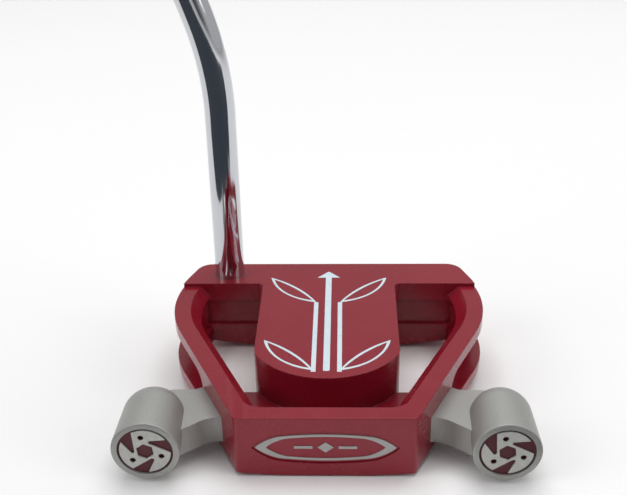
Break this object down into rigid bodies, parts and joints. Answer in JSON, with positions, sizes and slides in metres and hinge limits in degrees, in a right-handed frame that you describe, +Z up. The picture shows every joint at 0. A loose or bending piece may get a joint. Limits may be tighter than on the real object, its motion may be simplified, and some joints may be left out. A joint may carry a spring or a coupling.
{
  "type": "mallet putter",
  "caption": "Mallet putter: open red metal head with a raised centre tongue and alignment marks, outrigger weight pods at the rear, a bent plated shaft and a tapered rubber grip.",
  "frame": {"origin": "on the ground under the middle of the head, at the centre of the flat sole", "axes": "+Z up with the sole on the ground, +Y towards the hitting face, +X towards the toe, so the shaft leans to -X"},
  "size_m": [0.3608, 0.0885, 0.8496],
  "materials": {
    "red_head": "red anodised and polished, soft sheen",
    "insert": "fine-textured urethane",
    "tape": "thin double-sided adhesive tape",
    "mark_paint": "filled paint, pale bluish white",
    "badge_field": "thin sheet, satin red",
    "badge_metal": "satin nickel colour",
    "pod_metal": "bead-blasted, fine grain",
    "brass": "turned",
    "red_cap": "dark red anodised, matt",
    "fan_metal": "satin",
    "screw_steel": "plain",
    "shaft_chrome": "mirror plated",
    "epoxy": "cured adhesive",
    "grip_rubber": "matt moulded, fine texture",
    "cap_rubber": "matt moulded"
  },
  "bodies": {
    "root": {"head_body": "red_head", "face_insert": "insert", "insert_tape": "tape", "alignment_arrow": "mark_paint", "alignment_lines": "mark_paint", "alignment_leaves": "mark_paint", "badge_tape": "tape", "badge_plate": "badge_field", "badge_ring": "badge_metal", "badge_emblem": "badge_metal", "heel_pod": "pod_metal", "toe_pod": "pod_metal", "heel_weight": "brass", "toe_weight": "brass", "heel_end_cap": "red_cap", "toe_end_cap": "red_cap", "heel_fan_plate": "fan_metal", "toe_fan_plate": "fan_metal", "heel_pod_screws": "screw_steel", "toe_pod_screws": "screw_steel", "shaft": "shaft_chrome", "shaft_epoxy": "epoxy", "grip_tape": "tape", "grip": "grip_rubber", "butt_cap": "cap_rubber"}
  },
  "joints": []
}
